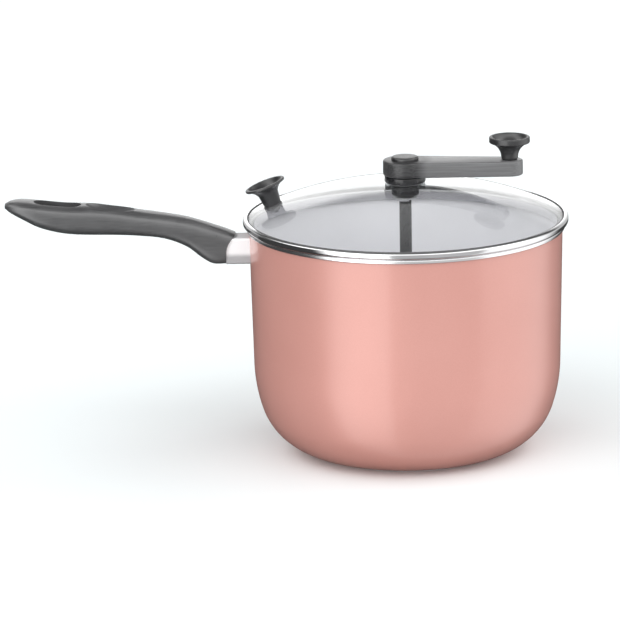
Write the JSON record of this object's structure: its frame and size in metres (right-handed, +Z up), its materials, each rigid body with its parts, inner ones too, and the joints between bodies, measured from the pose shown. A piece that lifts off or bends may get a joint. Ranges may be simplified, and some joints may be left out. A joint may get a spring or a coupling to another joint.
{
  "type": "popcorn maker",
  "caption": "Stovetop popcorn pot with a long side handle, a domed glass lid in a steel band, and a hand crank that turns a stirrer through the lid.",
  "frame": {"origin": "middle of the pot's base, on the surface that it stands on", "axes": "+Z up along the pot's axis, +X away from the handle and towards the crank's knob at rest"},
  "size_m": [0.3666, 0.212, 0.2081],
  "materials": {
    "rose_paint": "pressed aluminium with metallic rose paint outside, a pale lining inside and a bare turned lip",
    "plain_steel": "plain stainless steel, polished on the lid band",
    "satin_black": "satin dark grey heat-proof moulding",
    "gloss_black": "gloss black nylon",
    "clear_glass": "clear toughened glass",
    "soft_seal": "matt black silicone"
  },
  "bodies": {
    "pot": {"pot_body": "rose_paint", "flame_guard": "plain_steel", "handle_stud": "plain_steel", "handle_bolt": "plain_steel", "bolt_washer": "plain_steel", "handle_grip": "satin_black"},
    "lid": {"lid_glass": "clear_glass", "lid_band": "plain_steel", "lid_seal": "soft_seal", "lifting_knob": "satin_black", "lifting_knob_pad": "soft_seal", "lifting_knob_washer": "plain_steel", "lifting_knob_screw": "plain_steel", "crank_bush": "gloss_black", "bush_nut": "gloss_black", "upper_pad": "soft_seal", "lower_pad": "soft_seal"},
    "crank": {"crank_shaft": "gloss_black", "thrust_washer": "plain_steel", "spring_clip": "plain_steel", "crank_arm": "satin_black", "arm_washer": "plain_steel", "arm_screw": "plain_steel", "arm_cap": "satin_black", "knob_pin": "plain_steel", "knob_washer": "gloss_black", "stirrer_blade": "plain_steel", "stirrer_nut": "plain_steel"},
    "knob": {"turning_knob": "satin_black"}
  },
  "joints": [
    {"name": "lid_lift", "type": "slide", "parent": "pot", "child": "lid", "axis": [0, 0, 1], "range_m": [0, 0.17]},
    {"name": "crank_turn", "type": "hinge", "parent": "lid", "child": "crank", "pos_m": [0, 0, 0.18], "axis": [0, 0, 1], "continuous": true},
    {"name": "knob_spin", "type": "hinge", "parent": "crank", "child": "knob", "pos_m": [0.06787, -0.00415, 0.2], "axis": [0, 0, 1], "continuous": true}
  ]
}
